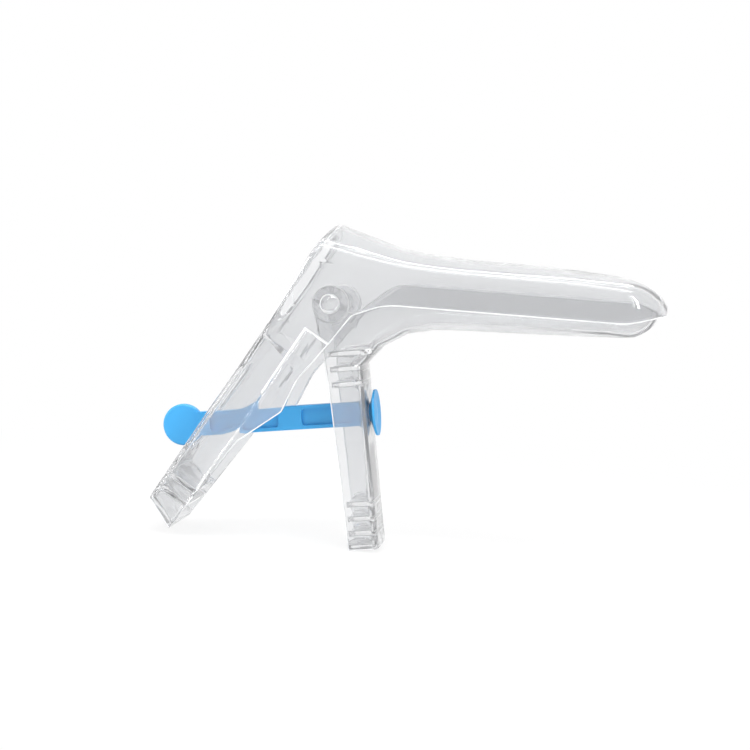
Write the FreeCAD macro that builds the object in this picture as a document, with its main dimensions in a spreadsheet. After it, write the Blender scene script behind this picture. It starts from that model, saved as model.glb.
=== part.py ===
import FreeCAD, Part
import math
import os
import Sketcher
from FreeCAD import Placement, Rotation, Vector

os.makedirs("parts", exist_ok=True)
doc = FreeCAD.newDocument("speculum")
sheet = doc.addObject("Spreadsheet::Sheet", "Sizes")

# Driving sizes in millimetres and degrees. Lengths along the blades are measured from the hinge
# axis, heights from the hinge axis upwards, and half widths from the plane of symmetry.
SIZES = dict(
    # blades: the upper valve's outside, station by station from the throat to the tip
    throat_reach=9.0, throat_crown=25.2, throat_half=17.6, throat_foot=-24.0,
    neck_reach=24.0, neck_crown=21.0, neck_half=15.2, neck_foot=-12.0,
    waist_reach=45.0, waist_crown=19.1, waist_half=14.0,
    middle_reach=72.0, middle_crown=18.7, middle_half=13.6,
    fore_back=19.5, fore_crown=17.4, fore_half=12.7,
    nose_back=9.2, nose_crown=15.3, nose_half=10.5,
    snout_back=2.9, snout_crown=11.8, snout_half=6.9,
    tip_reach=116.1, tip_crown=8.2, tip_half=3.4,
    blade_wall=1.6, blade_corner=6.5, blade_bow=22.0, tip_corner=2.4, rim_trim=4.9,
    upper_rim=0.9, upper_tip_rim=4.6, rim_turn=13.0, lower_rim=8.7, nest_gap=0.35,
    # mouth of the upper valve, in the plane of the rear handle's back
    lean=29.3, back_offset=15.3, mouth_top=24.2, mouth_half=19.6, mouth_corner=10.0, mouth_round=1.8,
    mouth_bow=24.0, mouth_foot=-18.0, mouth_foot_half=17.0,
    throat_foot_half=15.4, neck_foot_half=14.6,
    port_half=14.6, port_top=19.6, port_bottom=-17.0,
    # rear handle, measured down its back from the level of the hinge
    rear_start=12.0, rear_start_half=17.3, rear_start_inside=16.0, rear_start_deep=24.0,
    rear_knee=34.0, rear_knee_half=16.2, rear_knee_inside=15.2, rear_knee_kick=0.4,
    rear_waist=56.0, rear_half=14.6, rear_waist_kick=1.2,
    rear_foot_half=14.4, rear_length=94.4, rear_foot_kick=1.8,
    rear_depth=15.4, rear_wall=1.8, rear_corner=2.2, web_bow=200.0,
    rear_slant=23.5, crease_depth=11.8, lip_out=0.7,
    rim_back=11.0, cheek_front=8.0, cheek_drop=-3.6, cheek_round=5.0,
    throat_edge=0.0, throat_edge_drop=-15.0, knee_front=-9.6, knee_drop=-27.6,
    heel_front=-14.6, heel_drop=-39.5, lip_from=60.0, lip_inside=14.2, lip_end_inside=10.0,
    slot_half=5.3, slot_top=-36.0, slot_bottom=-75.0,
    rear_rib=1.3, rear_rib_pitch=5.8, rear_rib_first=5.0, rib_short=3.6,
    # lower valve: its trough turns down about one line into the front handle
    floor_waist=-6.3, floor_middle=-5.4, floor_fore=-4.4, floor_nose=-3.7,
    floor_snout=-0.5, floor_tip=2.4, lower_short=1.3, lower_tip_half=2.4, lower_tip_rim=4.6,
    bend_reach=36.0, bend_drop=-27.0, bend_radius=20.2, bend_grow=1.8, bend_half=12.5,
    bend_first=27.0, bend_second=54.0, bend_third=76.0, bend_first_half=13.0,
    bend_second_half=13.4, bend_third_half=12.6, ear_half=15.0, front_web=22.5, front_start_half=11.3, front_half=10.7, front_foot_half=10.3,
    front_lean=8.8, front_length=56.0, front_middle=18.0, front_kick=0.7, front_wall=1.7, front_corner=2.2,
    front_depth=12.1, front_foot_depth=10.3, front_edge=-1.0, front_edge_drop=-20.6,
    front_rib=1.3, front_rib_pitch=5.2, front_rib_first=6.0, top_rib_first=3.5, top_rib_pitch=5.5,
    ear_radius=6.6, ear_back=-6.0, notch_reach=9.0, notch_height=-2.4,
    rise_reach=22.0, notch_round=3.0,
    # hinge: stud on each ear, hole in each cheek
    stud_radius=3.0, stud_gap=0.05, stud_end=17.6,
    # locking bar, measured from the front web's outer face along its own axis, and its disc
    bar_down=8.1, bar_height=8.6, bar_thick=4.0, bar_end=64.0,
    pocket_deep=1.35, pocket_edge=1.3, pocket_round=1.2, pocket_from=6.0, block_from=25.0,
    block_long=8.6, pocket_end=59.0, collar_radius=4.9, collar_long=1.5, collar_gap=0.15,
    journal_radius=3.2, journal_gap=0.08, paddle_radius=7.6, paddle_thick=3.0, paddle_at=69.2,
    paddle_round=0.8, disc_radius=8.3, disc_thick=1.5, disc_dish=1.3, disc_rim=0.8,
    disc_hub=4.4, disc_crown=0.5, disc_from=0.5, spigot_radius=1.8, spigot_long=1.0, spigot_gap=0.02,
)
for row, (alias, value) in enumerate(SIZES.items(), start=1):
    sheet.set(f"A{row}", alias)
    sheet.set(f"B{row}", str(value))
    sheet.setAlias(f"B{row}", alias)
doc.recompute()


def size(text):
    """Value of a formula written in the sheet's aliases."""
    return float(sheet.evalExpression(rename(text)))


def rename(text):
    """The formula with each alias pointed at the sheet, for use outside it."""
    words = []
    word = ""
    for letter in str(text) + " ":
        if letter.isalnum() or letter in "_.":
            word += letter
            continue
        words.append("Sizes." + word if word in SIZES else word)
        words.append(letter)
        word = ""
    return "".join(words).strip()


def body(label):
    made = doc.addObject("PartDesign::Body", label)
    made.Label = label
    return made


def plane(owner, role):
    return next(f for f in owner.Origin.OriginFeatures if f.Role == role)


def section(owner, name, reach="0", height="0", turn="0"):
    """A sketch across the blades at this reach and height, turned about the width by so many
    degrees: 0 looks along the blades, 90 lays the sketch's height axis along them."""
    sketch = owner.newObject("Sketcher::SketchObject", name)
    sketch.AttachmentSupport = (plane(owner, "YZ_Plane"), [""])
    sketch.MapMode = "FlatFace"
    sketch.AttachmentOffset = Placement(
        Vector(0, size(height), size(reach)), Rotation(Vector(1, 0, 0), size(turn)))
    sketch.setExpression("AttachmentOffset.Base.z", rename(reach))
    sketch.setExpression("AttachmentOffset.Base.y", rename(height))
    sketch.setExpression("AttachmentOffset.Rotation.Angle", rename(turn))
    return sketch


def side_view(owner, name, near="0"):
    """A sketch seen from the side, so far on the near side of the plane of symmetry: across is
    along the blades, up is up."""
    sketch = owner.newObject("Sketcher::SketchObject", name)
    sketch.AttachmentSupport = (plane(owner, "XZ_Plane"), [""])
    sketch.MapMode = "FlatFace"
    sketch.AttachmentOffset = Placement(Vector(0, 0, size(near)), Rotation())
    sketch.setExpression("AttachmentOffset.Base.z", rename(near))
    return sketch


def outline(sketch, corners):
    """Closed outline from corners given as two formulas each, with a third for a rounding."""
    places = [Vector(size(c[0]), size(c[1]), 0) for c in corners]
    count = len(places)
    rule = Sketcher.Constraint
    for i in range(count):
        sketch.addGeometry(Part.LineSegment(places[i], places[(i + 1) % count]), True)
        sketch.addConstraint(rule("DistanceX", -1, 1, i, 1, places[i].x))
        sketch.setExpression(f"Constraints[{sketch.ConstraintCount - 1}]", rename(corners[i][0]))
        sketch.addConstraint(rule("DistanceY", -1, 1, i, 1, places[i].y))
        sketch.setExpression(f"Constraints[{sketch.ConstraintCount - 1}]", rename(corners[i][1]))
    for i in range(count):
        sketch.addConstraint(rule("Coincident", i, 2, (i + 1) % count, 1))
    rounds = [corner_round(places, i, corner) for i, corner in enumerate(corners)]
    for i in range(count):
        following = (i + 1) % count
        line = sketch.addGeometry(Part.LineSegment(rounds[i][2], rounds[following][1]), False)
        for end, corner in ((1, i), (2, following)):
            if rounds[corner][0]:
                sketch.addConstraint(rule("PointOnObject", line, end, i))
            else:
                sketch.addConstraint(rule("Coincident", line, end, corner, 1))
    for i, corner in enumerate(corners):
        if rounds[i][0]:
            arc = sketch.addGeometry(rounds[i][0], False)
            first, last = (1, 2) if rounds[i][3] else (2, 1)
            sketch.addConstraint(rule("Tangent", count + (i - 1) % count, 2, arc, first))
            sketch.addConstraint(rule("Tangent", arc, last, count + i, 1))
            sketch.addConstraint(rule("Radius", arc, size(corner[2])))
            sketch.setExpression(f"Constraints[{sketch.ConstraintCount - 1}]", rename(corner[2]))
    return sketch


def corner_round(places, i, corner):
    """Arc that rounds a corner, its first and last point, and whether it turns left; a sharp
    corner has no arc."""
    if len(corner) < 3:
        return None, places[i], places[i], True
    radius = size(corner[2])
    before = (places[i - 1] - places[i]).normalize()
    after = (places[(i + 1) % len(places)] - places[i]).normalize()
    half = before.getAngle(after) / 2
    first = places[i] + before * (radius / math.tan(half))
    last = places[i] + after * (radius / math.tan(half))
    centre = places[i] + (before + after).normalize() * (radius / math.sin(half))
    left = (first - centre).cross(last - centre).z > 0
    angles = [math.atan2(p.y - centre.y, p.x - centre.x) for p in (first, last)]
    if not left:
        angles.reverse()
    whole = Part.Circle(centre, Vector(0, 0, 1), radius)
    return Part.ArcOfCircle(whole, *angles), first, last, left


def circle(sketch, across, up, radius):
    """Circle whose centre and radius are formulas."""
    at = Vector(size(across), size(up), 0)
    sketch.addGeometry(Part.Circle(at, Vector(0, 0, 1), size(radius)), False)
    rules = (("DistanceX", across, at.x), ("DistanceY", up, at.y))
    for kind, text, value in rules:
        number = sketch.addConstraint(Sketcher.Constraint(kind, -1, 1, 0, 3, value))
        sketch.setExpression(f"Constraints[{number}]", rename(text))
    number = sketch.addConstraint(Sketcher.Constraint("Radius", 0, size(radius)))
    sketch.setExpression(f"Constraints[{number}]", rename(radius))
    return sketch


def arch(sketch, half, crown, foot, corner, bow, foot_half):
    """Closed arch: two sides that may lean, two corner arcs and a shallow crown arc, tangent
    all round. A crown below the foot makes the same arch upside down."""
    w, c, f, r, b, e = (size(t) for t in (half, crown, foot, corner, bow, foot_half))
    up = 1 if c > f else -1
    middle = c - up * b
    drop = math.sqrt((b - r) ** 2 - (w - r) ** 2)
    side = middle + up * drop
    tilt = math.atan2(drop, w - r)
    away = math.hypot(e - w + r, f - side)
    turned = math.atan2(up * (f - side), e - w + r) + math.acos(r / away)
    touch = Vector(w - r + r * math.cos(turned), side + up * r * math.sin(turned), 0)

    def arc(x, y, radius, start, end):
        if up < 0:
            start, end = -end, -start
        return Part.ArcOfCircle(Part.Circle(Vector(x, y, 0), Vector(0, 0, 1), radius), start, end)

    for shape in (
        Part.LineSegment(Vector(e, f, 0), touch),
        arc(w - r, side, r, turned, tilt),
        arc(0, middle, b, tilt, math.pi - tilt),
        arc(r - w, side, r, math.pi - tilt, math.pi - turned),
        Part.LineSegment(Vector(-touch.x, touch.y, 0), Vector(-e, f, 0)),
        Part.LineSegment(Vector(-e, f, 0), Vector(e, f, 0)),
    ):
        sketch.addGeometry(shape, False)
    start, end = (1, 2) if up > 0 else (2, 1)
    rule = Sketcher.Constraint
    sketch.addConstraint([
        rule("Tangent", 0, 2, 1, start), rule("Tangent", 1, end, 2, start),
        rule("Tangent", 2, end, 3, start), rule("Tangent", 3, end, 4, 1),
        rule("Coincident", 4, 2, 5, 1), rule("Coincident", 5, 2, 0, 1),
        rule("Symmetric", 5, 1, 5, 2, -2), rule("PointOnObject", 2, 3, -2),
        rule("Symmetric", 1, 3, 3, 3, -2),
    ])
    sign = "-" if up > 0 else "+"
    for made, text in (
        (rule("Radius", 1, r), corner),
        (rule("Radius", 2, b), bow),
        (rule("DistanceX", -1, 1, 1, 3, w - r), f"({half}) - ({corner})"),
        (rule("DistanceX", -1, 1, 0, 1, e), foot_half),
        (rule("DistanceY", -1, 1, 0, 1, f), foot),
        (rule("DistanceY", -1, 1, 2, 3, middle), f"({crown}) {sign} ({bow})"),
    ):
        number = sketch.addConstraint(made)
        sketch.setExpression(f"Constraints[{number}]", rename(text))
    return sketch


def loft(owner, name, kind, sketches):
    made = owner.newObject(f"PartDesign::{kind}Loft", name)
    made.Profile = sketches[0]
    made.Sections = sketches[1:]
    made.Ruled = True
    return made


def extrude(owner, name, kind, sketch, length, both=False, back=False):
    """Pad or Pocket of a sketch to a length formula, on both sides of it where asked."""
    made = owner.newObject(f"PartDesign::{kind}", name)
    made.Profile = sketch
    made.Length = size(length)
    made.setExpression("Length", rename(length))
    if both:
        made.SideType = "Symmetric"
    made.Reversed = back
    return made


def checked(owner):
    """Recompute and stop on anything that failed."""
    doc.recompute()
    for item in doc.Objects:
        if "Invalid" in item.State or "Error" in item.State:
            raise RuntimeError(f"{item.Name} failed: {item.getStatusString()}")
    if owner.Shape.isNull() or not owner.Shape.isValid():
        raise RuntimeError(f"{owner.Label} has no valid shape")
    return owner.Shape.Volume


# upper_valve: blade, funnel mouth, cheeks and rear handle, moulded in one
upper = body("upper_valve")
STATIONS = ("waist", "middle", "fore", "nose", "snout", "tip")
REACHES = ("waist_reach", "middle_reach", "tip_reach - fore_back", "tip_reach - nose_back",
           "tip_reach - snout_back", "tip_reach")
CORNERS = ("blade_corner", "blade_corner", "blade_corner", "blade_corner", "tip_corner + 1.6",
           "tip_corner")
BOWS = ("blade_bow", "blade_bow", "blade_bow", "blade_bow", "blade_bow - 8", "blade_bow - 14")
# how far each station's inside stands back from its outside, in walls, as the tip closes
BACKS = (0, 0, 0, 0.4, 0.75, 1)


def between(rows, first, share):
    """Formulas of a row this share of the way from row first to the next one, on a smooth curve
    through all the rows. Each row's first formula is how far along the curve it stands."""
    ahead, last = max(first - 1, 0), min(first + 2, len(rows) - 1)
    along = [size(rows[n][0]) for n in (ahead, first, first + 1, last)]
    span = along[2] - along[1]
    start = span / (along[2] - along[0])
    end = span / (along[3] - along[1])
    bend_in = share * (1 - share) ** 2 * start
    bend_out = share ** 2 * (share - 1) * end
    rise = share ** 2 * (3 - 2 * share)
    weights = (-bend_in, 1 - rise - bend_out, rise + bend_in, bend_out)
    return tuple(
        " + ".join(f"{weight:.6f} * ({rows[n][item]})"
                   for weight, n in zip(weights, (ahead, first, first + 1, last)))
        for item in range(len(rows[0])))


def smooth(rows, steps):
    """The rows with others between them, so many steps to each span."""
    made = []
    for first, count in enumerate(steps):
        made.append(rows[first])
        made += [between(rows, first, step / count) for step in range(1, count)]
    return made + [rows[-1]]


def back_point(down, inward="0"):
    """Reach and height of a point so far down the rear handle's back, and so far inside it."""
    return (f"(({inward}) - back_offset) * cos(lean) - ({down}) * sin(lean)",
            f"(back_offset - ({inward})) * sin(lean) - ({down}) * cos(lean)")


def upper_skin(name, inset, mouths):
    """Sections of the mouth, at these places inside its back and these insets, and of the blade,
    this far inside the outer surface."""
    made = [
        arch(section(upper, f"mouth_{name}_{number}", *back_point("0", inward), "lean"),
             f"mouth_half - {edge}", f"mouth_top - {edge}", f"mouth_foot - 3 * {inset}",
             f"mouth_corner - {edge}", f"mouth_bow - {edge}", f"mouth_foot_half - {edge}")
        for number, (inward, edge) in enumerate(mouths)]
    rows = [
        ("throat_reach", "throat_half", "throat_crown", "throat_foot", "blade_corner + 2",
         "blade_bow", "throat_foot_half", "0"),
        ("neck_reach", "neck_half", "neck_crown", "neck_foot", "blade_corner", "blade_bow",
         "neck_foot_half", "0")]
    rows += [(reach, f"{station}_half", f"{station}_crown", "upper_rim - rim_trim", corner, bow,
              f"{station}_half", back)
             for station, reach, corner, bow, back in zip(STATIONS, REACHES, CORNERS, BOWS, BACKS)]
    for number, row in enumerate(smooth(rows, (3, 3, 2, 2, 3, 3, 2))):
        reach, half, crown, foot, corner, bow, foot_half, back = row
        made.append(arch(
            section(upper, f"blade_{name}_{number}", f"{reach} - ({back}) * {inset}"),
            f"{half} - {inset}", f"{crown} - {inset}", f"{foot} - 3 * {inset}",
            f"{corner} - {inset}", f"{bow} - {inset}", f"{foot_half} - {inset}"))
    return made


def rear_skin(name, inset, more, start="0"):
    """Sections of the rear handle's channel, this far inside the outer surface. The handle kicks
    back a little towards its foot."""
    made = []
    for place, half, foot_half, deep, slant, kick in (
        ("rear_start", "rear_start_half", "rear_start_inside", "rear_start_deep", "0", "0"),
        ("rear_knee", "rear_knee_half", "rear_knee_inside", "rear_start_deep", "0",
         "rear_knee_kick"),
        ("rear_waist", "rear_half", "rear_half", "rear_depth + 4", "0", "rear_waist_kick"),
        (f"rear_length - ({more}) / cos(rear_slant)", "rear_foot_half", "rear_foot_half",
         "(rear_depth + 4) / cos(rear_slant)", "rear_slant", "rear_foot_kick"),
    ):
        number = len(made)
        sketch = section(upper, f"rear_{name}_{number}", *back_point(place, f"0 - {kick}"),
                         f"lean - 90 + {slant}")
        made.append(arch(
            sketch, f"{half} - ({inset})", f"0 - ({start})", f"-({deep}) - 2 * abs({inset})",
            f"rear_corner - ({inset}) * 0.8", f"web_bow - ({inset})", f"{foot_half} - ({inset})"))
    return made


loft(upper, "blade_solid", "Additive", upper_skin("outside", "0", (
    ("0", "mouth_round"), ("0.3 * mouth_round", "0.3 * mouth_round"), ("mouth_round", "0"))))
checked(upper)
loft(upper, "handle_solid", "Additive", rear_skin("outside", "0", "0"))
checked(upper)
loft(upper, "lip_solid", "Additive", rear_skin("lip", "0 - lip_out", "0", "crease_depth"))
checked(upper)
loft(upper, "blade_hollow", "Subtractive",
     upper_skin("inside", "blade_wall", (("rear_wall", "blade_wall"),)))
checked(upper)
loft(upper, "handle_hollow", "Subtractive",
     rear_skin("inside", "rear_wall", "rear_wall", "rear_wall"))
checked(upper)
extrude(upper, "rim_cut", "Pocket", outline(side_view(upper, "rim_line"), [
    ("tip_reach + 10", "upper_tip_rim"),
    ("tip_reach", "upper_tip_rim"),
    ("tip_reach - rim_turn", "upper_rim", "2 * rim_turn"),
    ("cheek_front + rim_back", "upper_rim", "2 * rim_back"),
    ("cheek_front", "cheek_drop", "cheek_round"),
    ("throat_edge", "throat_edge_drop", "2 * cheek_round"),
    ("knee_front", "knee_drop", "2 * cheek_round"),
    ("heel_front", "heel_drop", "0.4 * cheek_round"),
    (*back_point("lip_from", "lip_inside"), "cheek_round"),
    back_point("rear_length + rear_depth", "lip_end_inside"),
    ("tip_reach + 10", "0 - rear_length - rear_depth"),
]), "4 * mouth_half", both=True)
checked(upper)
extrude(upper, "port", "Pocket",
        outline(section(upper, "port_ring", *back_point("0"), "lean"), [
            ("port_half", "port_bottom", "port_half * 0.96"),
            ("port_half", "port_top", "port_half * 0.96"),
            ("-port_half", "port_top", "port_half * 0.96"),
            ("-port_half", "port_bottom", "port_half * 0.96"),
        ]), "4 * rear_wall", both=True)
extrude(upper, "bar_slot", "Pocket",
        outline(section(upper, "slot_ring", *back_point("0"), "lean"), [
            ("slot_half", "slot_bottom", "slot_half * 0.96"),
            ("slot_half", "slot_top", "slot_half * 0.96"),
            ("-slot_half", "slot_top", "slot_half * 0.96"),
            ("-slot_half", "slot_bottom", "slot_half * 0.96"),
        ]), "4 * rear_wall", both=True)
for number in range(2):
    down = f"rear_length - rear_rib_first - {number} * rear_rib_pitch"
    sketch = section(upper, f"rear_rib_line_{number}", *back_point(down), "lean - 90")
    extrude(upper, f"rear_rib_{number}", "Pad", outline(sketch, [
        ("rear_foot_half - rear_wall / 2", "rear_foot_kick - rear_wall / 2"),
        ("rear_foot_half - rear_wall / 2", "rib_short - rear_depth"),
        ("rear_wall / 2 - rear_foot_half", "rib_short - rear_depth"),
        ("rear_wall / 2 - rear_foot_half", "rear_foot_kick - rear_wall / 2"),
    ]), "rear_rib", both=True)
extrude(upper, "stud_hole", "Pocket",
        circle(side_view(upper, "stud_hole_ring"), "0", "0", "stud_radius + stud_gap"),
        "4 * mouth_half", both=True)
checked(upper)

# lower_valve: blade, ears with their studs and the front handle, moulded in one. Its trough turns
# down about one line, ahead of the handles, so its sections fan round that line.
lower = body("lower_valve")


def front_point(down):
    """Reach and height of the turning line, moved so far down along the front handle."""
    return (f"bend_reach + ({down}) * sin(front_lean)",
            f"bend_drop - ({down}) * cos(front_lean)")


FACING = "0 - 90 - front_lean"


def lower_skin(name, inset, foot_inset):
    """Sections from the tip round the bend to the handle's foot, inside by these walls."""
    nest = "(blade_wall + nest_gap)"
    rows = []
    for station, reach, corner, bow, back in zip(STATIONS, REACHES, CORNERS, BOWS, BACKS):
        half = f"{station}_half - {nest}" if station != "tip" else "lower_tip_half"
        rows.append((f"{reach} - {back} * ({nest} + lower_short)", half, f"floor_{station}",
                     f"{corner} - 0.4", f"{bow} - 2", back))
    made = []
    for number, row in enumerate(reversed(smooth(rows, (2, 2, 3, 3, 2)))):
        reach, half, floor, corner, bow, back = row
        made.append(arch(
            section(lower, f"blade_{name}_{number}", f"{reach} - ({back}) * ({inset})"),
            f"{half} - ({inset})", f"{floor} + ({inset})",
            f"lower_rim + rim_trim + 3 * ({inset})", f"{corner} - ({inset})",
            f"{bow} - ({inset})", f"{half} - ({inset})"))
    for number, (turn, out, half, foot_half, foot) in enumerate((
        ("0", "bend_radius", "bend_half", "bend_half", "lower_rim + rim_trim - bend_drop"),
        ("bend_first", "bend_radius + 0.2", "bend_first_half", "bend_first_half",
         "bend_radius + 23"),
        ("bend_second", "bend_radius + bend_grow", "bend_second_half", "ear_half",
         "bend_radius + 36"),
        ("bend_third", "front_web / cos(90 + front_lean - bend_third)", "bend_third_half",
         "ear_half - 0.8", "bend_radius + 28"),
        ("90 + front_lean", "front_web", "front_start_half", "front_start_half",
         "front_web + front_depth + 3"),
    )):
        corner = ("blade_corner - 0.4", "blade_corner - 0.4", "blade_corner - 1.4",
                  "front_corner + 1.8", "front_corner")[number]
        bow = ("blade_bow", "blade_bow + 14", "blade_bow + 28", "blade_bow + 80",
               "web_bow")[number]
        made.append(arch(
            section(lower, f"bend_{name}_{number}", "bend_reach", "bend_drop", f"-({turn})"),
            f"{half} - ({inset})", f"{out} + ({inset})", f"{foot} + 3 * ({inset})",
            f"{corner} - 0.7 * ({inset})", f"{bow} - ({inset})", f"{foot_half} - ({inset})"))
    for number, (down, half, deep, kick) in enumerate((
        ("front_middle", "front_half", "front_depth + 3", "0"),
        (f"front_length - ({foot_inset})", "front_foot_half", "front_foot_depth + 3",
         "front_kick"),
    )):
        made.append(arch(
            section(lower, f"front_{name}_{number}", *front_point(down), FACING),
            f"{half} - ({inset})", f"front_web - {kick} + ({inset})",
            f"front_web + {deep} + 3 * ({inset})",
            f"front_corner - 0.7 * ({inset})", f"web_bow - ({inset})", f"{half} - ({inset})"))
    return made


def lower_lofts(name, kind, sections):
    """The blade, the bend and the handle as three lofts that share their end sections."""
    bend = len(sections) - 7
    loft(lower, f"blade_{name}", kind, sections[:bend + 1])
    checked(lower)
    loft(lower, f"bend_{name}", kind, sections[bend:bend + 5])
    checked(lower)
    loft(lower, f"handle_{name}", kind, sections[bend + 4:])
    checked(lower)


lower_lofts("solid", "Additive", lower_skin("outside", "0", "0"))
FOOT_DIP = "(front_web + front_foot_depth) * sin(front_lean)"
extrude(lower, "rim_cut", "Pocket", outline(side_view(lower, "rim_line"), [
    ("tip_reach + 10", "lower_tip_rim"),
    ("tip_reach", "lower_tip_rim"),
    ("tip_reach - nose_back", "lower_rim", "rim_turn"),
    ("rise_reach", "lower_rim", "4 * notch_round"),
    ("notch_reach", "notch_height", "notch_round"),
    ("ear_back", "notch_height"),
    ("front_edge", "front_edge_drop", "4 * notch_round"),
    (f"bend_reach + front_length * sin(front_lean) - (front_web + front_foot_depth) * cos(front_lean)",
     f"bend_drop - front_length * cos(front_lean) - {FOOT_DIP}"),
    (f"bend_reach + front_length * sin(front_lean) - (front_web + front_foot_depth) * cos(front_lean)",
     "0 - rear_length - 60"),
    ("0 - rear_length", "0 - rear_length - 60"),
    ("0 - rear_length", "rear_length"),
    ("tip_reach + 10", "rear_length"),
]), "4 * mouth_half", both=True)
checked(lower)
extrude(lower, "ears", "Pad", circle(side_view(lower, "ear_ring"), "0", "0", "ear_radius"),
        "2 * ear_half", both=True)
extrude(lower, "studs", "Pad", circle(side_view(lower, "stud_ring"), "0", "0", "stud_radius"),
        "2 * stud_end", both=True)
checked(lower)
lower_lofts("hollow", "Subtractive", lower_skin("inside", "blade_wall", "front_wall"))
ribs = [(f"front_length - front_rib_first - {n} * front_rib_pitch", "front_foot_half", "0",
         "front_foot_depth - 1") for n in range(3)]
ribs += [(f"0 - top_rib_first - {n} * top_rib_pitch", f"front_start_half + {wide}", out,
          "front_depth - 1") for n, wide, out in ((0, 0.5, "0"), (1, 1.6, "0"), (2, 2.0, "-4.2"))]
for number, (down, half, out, deep) in enumerate(ribs):
    sketch = section(lower, f"front_rib_line_{number}", *front_point(down), FACING)
    extrude(lower, f"front_rib_{number}", "Pad", outline(sketch, [
        (f"{half} - blade_wall / 2", f"front_web + {out} + blade_wall / 2"),
        (f"{half} - blade_wall / 2", f"front_web + {deep}"),
        (f"blade_wall / 2 - ({half})", f"front_web + {deep}"),
        (f"blade_wall / 2 - ({half})", f"front_web + {out} + blade_wall / 2"),
    ]), "front_rib", both=True)
checked(lower)
AXIS_REACH = "bend_reach + bar_down * sin(front_lean) - front_web * cos(front_lean)"
AXIS_HEIGHT = "bend_drop - bar_down * cos(front_lean) - front_web * sin(front_lean)"
extrude(lower, "journal_hole", "Pocket",
        circle(section(lower, "journal_ring", AXIS_REACH, AXIS_HEIGHT, "0 - front_lean"),
               "0", "0", "journal_radius + journal_gap"), "4 * front_wall", both=True)
checked(lower)

# locking_bar: drawn along its own axis, outwards from the front handle's web, then laid in place
bar = body("locking_bar")
COLLAR = "(front_wall + collar_gap)"
extrude(bar, "blank", "Pad", outline(side_view(bar, "blank_line"), [
    (f"-{COLLAR}", "bar_height / 2"),
    ("-bar_end", "bar_height / 2"),
    ("-bar_end", "-bar_height / 2"),
    (f"-{COLLAR}", "-bar_height / 2"),
]), "bar_thick", both=True)
extrude(bar, "paddle", "Pad",
        circle(side_view(bar, "paddle_ring"), "-paddle_at", "0", "paddle_radius"),
        "paddle_thick", both=True)
extrude(bar, "collar", "Pad",
        circle(section(bar, "collar_ring", f"-{COLLAR}"), "0", "0", "collar_radius"),
        "collar_long", back=True)
extrude(bar, "journal", "Pad",
        circle(section(bar, "journal_ring", f"-{COLLAR}"), "0", "0", "journal_radius"),
        f"{COLLAR} + disc_from")
extrude(bar, "spigot", "Pad", circle(section(bar, "spigot_ring"), "0", "0", "spigot_radius"),
        "disc_from + spigot_long")
checked(bar)
pockets = (("pocket_from", "block_from"), ("block_from + block_long", "pocket_end"))
for side, back in (("near", True), ("far", False)):
    out = "bar_thick / 2 - pocket_deep"
    for number, (first, last) in enumerate(pockets):
        sketch = side_view(bar, f"{side}_pocket_line_{number}", out if back else f"-({out})")
        extrude(bar, f"{side}_pocket_{number}", "Pocket", outline(sketch, [
            (f"-({first})", "bar_height / 2 - pocket_edge", "pocket_round"),
            (f"-({last})", "bar_height / 2 - pocket_edge", "pocket_round"),
            (f"-({last})", "pocket_edge - bar_height / 2", "pocket_round"),
            (f"-({first})", "pocket_edge - bar_height / 2", "pocket_round"),
        ]), "bar_thick", back=back)
checked(bar)


def edges_where(owner, test):
    """Names of the edges of a body's shape that pass a test."""
    return [f"Edge{n}" for n, edge in enumerate(owner.Shape.Edges, start=1) if test(edge)]


def is_round(edge, radius):
    return hasattr(edge.Curve, "Radius") and abs(edge.Curve.Radius - radius) < 1e-6


names = edges_where(bar, lambda e: is_round(e, size("paddle_radius")))
blank = bar.Tip
softened = bar.newObject("PartDesign::Fillet", "paddle_edge")
softened.Base = (blank, names)
softened.Radius = size("paddle_round")
softened.setExpression("Radius", rename("paddle_round"))
checked(bar)

# retaining_disc: dished disc pressed on the bar's spigot, outside the front web
disc = body("retaining_disc")
profile = outline(side_view(disc, "disc_line"), [
    ("disc_from", "spigot_radius + spigot_gap"),
    ("disc_from", "disc_hub"),
    ("disc_from + disc_dish", "disc_radius"),
    ("disc_from + disc_dish + disc_rim", "disc_radius"),
    ("disc_from + disc_thick", "disc_hub"),
    ("disc_from + disc_thick + disc_crown", "0"),
    ("disc_from + spigot_long + spigot_gap", "0"),
    ("disc_from + spigot_long + spigot_gap", "spigot_radius + spigot_gap"),
])
turned = disc.newObject("PartDesign::Revolution", "disc_turned")
turned.Profile = profile
turned.ReferenceAxis = (profile, ["H_Axis"])
turned.Angle = 360
checked(disc)

# Every piece goes to its place in the part's frame, with the middle between the blades' tip and the
# paddle over the origin, the front handle's foot at height 0 and the bar through the front web.
HINGE_REACH = f"-(tip_reach + {AXIS_REACH} - paddle_at * cos(front_lean) - paddle_radius) / 2"
HINGE_HEIGHT = f"front_length * cos(front_lean) - bend_drop + {FOOT_DIP}"
for piece in (upper, lower, bar, disc):
    reach, height, turn = HINGE_REACH, HINGE_HEIGHT, "0"
    if piece in (bar, disc):
        reach = f"{HINGE_REACH} + {AXIS_REACH}"
        height = f"{HINGE_HEIGHT} + {AXIS_HEIGHT}"
        turn = "front_lean"
    piece.Placement = Placement(
        Vector(size(reach), 0, size(height)), Rotation(Vector(0, -1, 0), size(turn)))
    piece.setExpression("Placement.Base.x", rename(reach))
    piece.setExpression("Placement.Base.z", rename(height))
    piece.setExpression("Placement.Rotation.Angle", rename(turn))
    checked(piece)

for piece in (upper, lower, bar, disc):
    if len(piece.Shape.Solids) != 1:
        raise RuntimeError(f"{piece.Label} is {len(piece.Shape.Solids)} solids")
    piece.Shape.exportStep(f"parts/{piece.Label}.step")
    box = piece.Shape.optimalBoundingBox()
    print(piece.Label, round(piece.Shape.Volume), [round(v, 2) for v in (
        box.XMin, box.XMax, box.YMin, box.YMax, box.ZMin, box.ZMax)])
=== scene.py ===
import math

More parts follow.
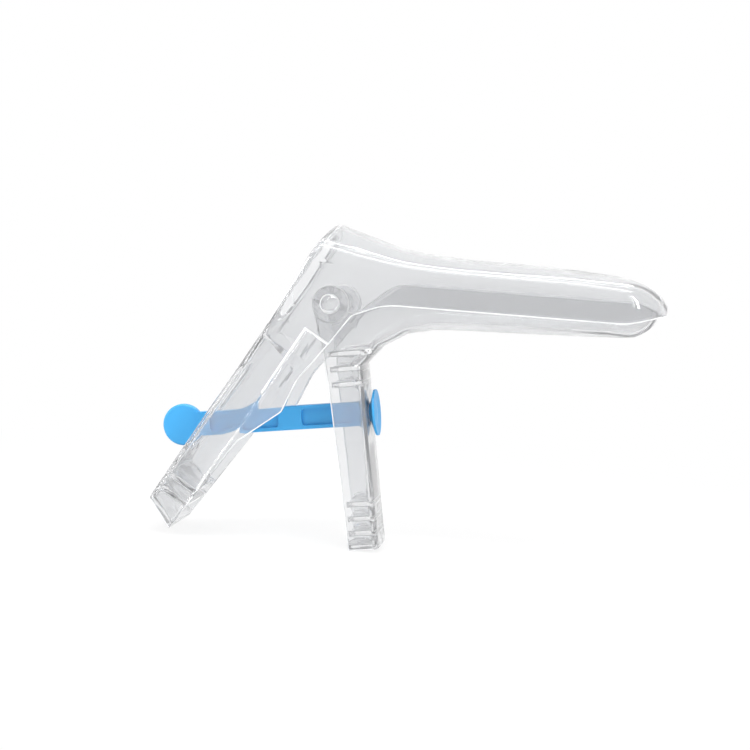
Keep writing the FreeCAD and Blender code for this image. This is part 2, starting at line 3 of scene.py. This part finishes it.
import bmesh
import bpy
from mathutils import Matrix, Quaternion, Vector


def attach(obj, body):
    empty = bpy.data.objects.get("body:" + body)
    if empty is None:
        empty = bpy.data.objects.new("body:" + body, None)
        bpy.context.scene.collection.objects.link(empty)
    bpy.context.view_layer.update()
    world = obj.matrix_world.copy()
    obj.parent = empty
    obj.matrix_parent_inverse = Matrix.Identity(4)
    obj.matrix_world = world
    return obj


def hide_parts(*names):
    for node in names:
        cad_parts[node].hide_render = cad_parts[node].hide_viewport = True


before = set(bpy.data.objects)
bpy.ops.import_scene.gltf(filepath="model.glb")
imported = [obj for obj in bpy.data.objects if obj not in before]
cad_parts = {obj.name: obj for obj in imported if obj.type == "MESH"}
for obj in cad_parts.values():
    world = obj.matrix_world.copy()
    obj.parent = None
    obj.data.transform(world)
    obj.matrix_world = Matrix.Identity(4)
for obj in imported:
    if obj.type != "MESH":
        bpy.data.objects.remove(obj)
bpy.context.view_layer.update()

# Upper valve: the upper blade, funnel mouth and long rear handle of a throw-away speculum, moulded
# in one shot of clear polystyrene. Its edges are only just rounded and carry a painted highlight,
# paler than the walls.
MILLIMETRE = 0.001
WELD = 0.002 * MILLIMETRE
SHARP_ANGLE = math.radians(34)
CORNER_ANGLE = math.radians(50)
EDGE_ROUND = 0.4 * MILLIMETRE
EDGE_ROOM = 0.5 * MILLIMETRE
GLASSY = 1.5
CLEAR_TINT = (0.86, 0.865, 0.875, 1)
# the painted highlight on the rounded edges runs between these two colours
HIGHLIGHT_DIM_PAINT = (0.82, 0.83, 0.85, 1)
HIGHLIGHT_FULL_PAINT = (1, 1, 1, 1)


def add(tree, kind, **values):
    """A new shader node, with its inputs set by their names in lower case."""
    made = tree.nodes.new(kind)
    for name, value in values.items():
        made.inputs[name.replace("_", " ").title()].default_value = value
    return made


def material(name):
    made = bpy.data.materials.new(name)
    made.use_nodes = True
    return made, made.node_tree, made.node_tree.nodes["Principled BSDF"]


def plastic(name, roughness, transmission, scale, detail):
    """A clear plastic with a noise on the object's own coordinates: the walls bump their normals
    with it, and the edges break up their painted highlight with it.
    """
    made, tree, shader = material(name)
    shader.inputs["Roughness"].default_value = roughness
    shader.inputs["IOR"].default_value = GLASSY
    shader.inputs["Transmission Weight"].default_value = transmission
    place = add(tree, "ShaderNodeTexCoord")
    noise = add(tree, "ShaderNodeTexNoise", scale=scale, detail=detail)
    tree.links.new(place.outputs["Object"], noise.inputs["Vector"])
    return made, tree, shader, noise


# the walls: a little haze, and waves where the mould was polished by hand
clear, clear_tree, clear_shader, waves = plastic(
    "clear polystyrene", roughness=0.04, transmission=0.86, scale=38, detail=1)
clear_shader.inputs["Base Color"].default_value = CLEAR_TINT
waves.noise_type = "RIDGED_MULTIFRACTAL"
ripple = add(clear_tree, "ShaderNodeBump", strength=1, distance=0.5 * MILLIMETRE)
clear_tree.links.new(waves.outputs["Fac"], ripple.inputs["Height"])
clear_tree.links.new(ripple.outputs["Normal"], clear_shader.inputs["Normal"])

# the rounded edges: a painted highlight, brighter than the walls, and unevenly so by a noise
painted_highlight, painted_highlight_tree, painted_highlight_shader, painted_glint_noise = plastic(
    "polystyrene edge with painted highlight", roughness=0.1, transmission=0.1, scale=90, detail=2)
painted_glint_ramp = add(painted_highlight_tree, "ShaderNodeValToRGB")
dim_highlight_stop, full_highlight_stop = painted_glint_ramp.color_ramp.elements
dim_highlight_stop.position, full_highlight_stop.position = 0.42, 0.6
dim_highlight_stop.color, full_highlight_stop.color = HIGHLIGHT_DIM_PAINT, HIGHLIGHT_FULL_PAINT
painted_highlight_tree.links.new(painted_glint_noise.outputs["Fac"], painted_glint_ramp.inputs["Fac"])
painted_highlight_tree.links.new(painted_glint_ramp.outputs["Color"], painted_highlight_shader.inputs["Base Color"])


def facet_room(edge):
    """The width that an edge's narrower facet leaves beside it."""
    return min(2 * facet.calc_area() for facet in edge.link_faces) / edge.calc_length()


def moulding(node, name):
    """A welded piece in the shape of a CAD node, which it stands for, with its edges rounded."""
    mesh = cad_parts[node].data.copy()
    mesh.name = name
    shape = bmesh.new()
    shape.from_mesh(mesh)
    bmesh.ops.remove_doubles(shape, verts=shape.verts, dist=WELD)
    bmesh.ops.dissolve_degenerate(shape, dist=WELD, edges=shape.edges)
    # steps that are lower than a rounded edge would be are smoothed away
    steps = [edge for edge in shape.edges
             if edge.calc_face_angle(0) > CORNER_ANGLE and facet_room(edge) < EDGE_ROOM]
    shape.verts.index_update()
    ends = sorted({corner for edge in steps for corner in edge.verts},
                  key=lambda corner: corner.index)
    bmesh.ops.remove_doubles(shape, verts=ends, dist=EDGE_ROOM)
    bmesh.ops.dissolve_degenerate(shape, dist=WELD, edges=shape.edges)
    rounded = shape.edges.layers.float.new("bevel_weight_edge")
    for edge in shape.edges:
        if edge.calc_face_angle(0) > CORNER_ANGLE and facet_room(edge) >= EDGE_ROOM:
            edge[rounded] = 1
    shape.to_mesh(mesh)
    shape.free()
    mesh.shade_smooth()
    mesh.set_sharp_from_angle(angle=SHARP_ANGLE)
    mesh.materials.clear()
    mesh.materials.append(clear)
    # the second slot holds the painted highlight for the rounded edges
    mesh.materials.append(painted_highlight)
    piece = bpy.data.objects.new(name, mesh)
    bpy.context.scene.collection.objects.link(piece)
    rounding = piece.modifiers.new("rounded edges", "BEVEL")
    rounding.width = EDGE_ROUND
    rounding.segments = 2
    rounding.limit_method = "WEIGHT"
    rounding.use_clamp_overlap = False
    rounding.harden_normals = True
    # the rounded edges take the painted highlight material
    rounding.material = 1
    return piece


upper_valve = moulding("upper_valve", "upper_valve_shell")
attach(upper_valve, "upper")
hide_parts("upper_valve")

# Lower valve: the lower blade that nests in the upper one, its two ears with their hinge studs and
# the short front handle, moulded in the same clear polystyrene.
lower_valve = moulding("lower_valve", "lower_valve_shell")
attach(lower_valve, "lower")
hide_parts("lower_valve")

# Locking bar and retaining disc: turned by the thumb to lock the blades, moulded in opaque blue
# polypropylene with a satin gloss.
BLUE = (0.04, 0.345, 0.71, 1)
blue, _, blue_shader = material("blue polypropylene")
blue_shader.inputs["Base Color"].default_value = BLUE
blue_shader.inputs["Roughness"].default_value = 0.38
for node in ("locking_bar", "retaining_disc"):
    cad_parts[node].data.materials.clear()
    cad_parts[node].data.materials.append(blue)

# Studio: a white room and floor, and narrow lamps overhead and on both sides that draw lines of
# light along the blades and handles.
WHITE = (1, 1, 1, 1)
PAPER = (0.9, 0.9, 0.9, 1)
ROOM_LIGHT = 0.75
FLOOR_HALF = 6
SHADOW_FROM, SHADOW_TO, SHADOW_WHITE = 0.06, 0.3, 0.82
MIDDLE = Vector((0, 0, 0.06))


def looked_at(tree):
    """1 for rays that look, straight or by way of glass or gloss, and 0 for those that light."""
    path = add(tree, "ShaderNodeLightPath")
    seen = path.outputs["Is Camera Ray"]
    for kind in ("Is Glossy Ray", "Is Transmission Ray"):
        either = add(tree, "ShaderNodeMath")
        either.operation = "MAXIMUM"
        tree.links.new(seen, either.inputs[0])
        tree.links.new(path.outputs[kind], either.inputs[1])
        seen = either.outputs[0]
    return seen


world = bpy.data.worlds.new("white room")
bpy.context.scene.world = world
world.use_nodes = True
walls = world.node_tree.nodes["Background"]
walls.inputs["Color"].default_value = WHITE
level = add(world.node_tree, "ShaderNodeMapRange", to_min=ROOM_LIGHT)
world.node_tree.links.new(looked_at(world.node_tree), level.inputs["Value"])
world.node_tree.links.new(level.outputs["Result"], walls.inputs["Strength"])

floor_mesh = bpy.data.meshes.new("floor")
floor_mesh.from_pydata(
    [(x * FLOOR_HALF, y * FLOOR_HALF, 0) for x, y in ((-1, -1), (1, -1), (1, 1), (-1, 1))],
    [], [(0, 1, 2, 3)])
floor = bpy.data.objects.new("floor", floor_mesh)
bpy.context.scene.collection.objects.link(floor)
pale, pale_tree, pale_shader = material("white paper")
pale_shader.inputs["Base Color"].default_value = PAPER
pale_shader.inputs["Roughness"].default_value = 0.9
plain_white = add(pale_tree, "ShaderNodeEmission", color=WHITE)
# the paper keeps the object's shadow near it and fades to the plain white of the room
place = add(pale_tree, "ShaderNodeTexCoord")
away = add(pale_tree, "ShaderNodeVectorMath")
away.operation = "LENGTH"
fade = add(pale_tree, "ShaderNodeMapRange", from_min=SHADOW_FROM, from_max=SHADOW_TO,
           to_min=SHADOW_WHITE)
fade.interpolation_type = "SMOOTHSTEP"
share = add(pale_tree, "ShaderNodeMath")
share.operation = "MULTIPLY"
shown = add(pale_tree, "ShaderNodeMixShader")
for source, target in (
        (place.outputs["Object"], away.inputs[0]),
        (away.outputs["Value"], fade.inputs["Value"]),
        (looked_at(pale_tree), share.inputs[0]),
        (fade.outputs["Result"], share.inputs[1]),
        (share.outputs[0], shown.inputs["Fac"]),
        (pale_shader.outputs["BSDF"], shown.inputs[1]),
        (plain_white.outputs["Emission"], shown.inputs[2]),
        (shown.outputs["Shader"], pale_tree.nodes["Material Output"].inputs["Surface"])):
    pale_tree.links.new(source, target)
floor.data.materials.append(pale)


def lamp(name, place, size, power):
    """A lamp of a width and a length that shines from its place at the object's middle."""
    light = bpy.data.lights.new(name, "AREA")
    light.shape = "RECTANGLE"
    light.size, light.size_y = size
    light.energy = power
    made = bpy.data.objects.new(name, light)
    bpy.context.scene.collection.objects.link(made)
    made.location = place
    made.rotation_mode = "QUATERNION"
    made.rotation_quaternion = (MIDDLE - Vector(place)).to_track_quat("-Z", "Y")


lamp("overhead strip", place=(0.02, -0.25, 0.55), size=(0.7, 0.05), power=1.6)
lamp("second strip", place=(0.02, -0.02, 0.6), size=(0.7, 0.05), power=1.6)
lamp("left strip", place=(-0.55, -0.35, 0.25), size=(0.04, 0.5), power=1.1)
lamp("right strip", place=(0.5, -0.55, 0.3), size=(0.04, 0.4), power=1.0)

# Camera: nearly level with the mouth and a little to the blades' side, as the photograph was
# taken, and rolled so that the object leans as it does there.
HINGE = Vector((-0.0276, 0, 0.0874))
AIM = HINGE + Vector((0.0156, 0, -0.0248))
AZIMUTH, ELEVATION, ROLL = math.radians(7.6), math.radians(4.8), math.radians(4.4)
DISTANCE = 0.54
SENSOR, FIELD = 36, math.radians(28)
back = Vector((math.sin(AZIMUTH) * math.cos(ELEVATION), -math.cos(AZIMUTH) * math.cos(ELEVATION),
               math.sin(ELEVATION)))
lens = bpy.data.cameras.new("camera")
lens.sensor_width = SENSOR
lens.lens = SENSOR / 2 / math.tan(FIELD / 2)
camera = bpy.data.objects.new("camera", lens)
bpy.context.scene.collection.objects.link(camera)
camera.location = AIM + DISTANCE * back
camera.rotation_mode = "QUATERNION"
camera.rotation_quaternion = Quaternion(back, ROLL) @ (-back).to_track_quat("-Z", "Y")
bpy.context.scene.camera = camera
bpy.context.scene.view_settings.view_transform = "Standard"
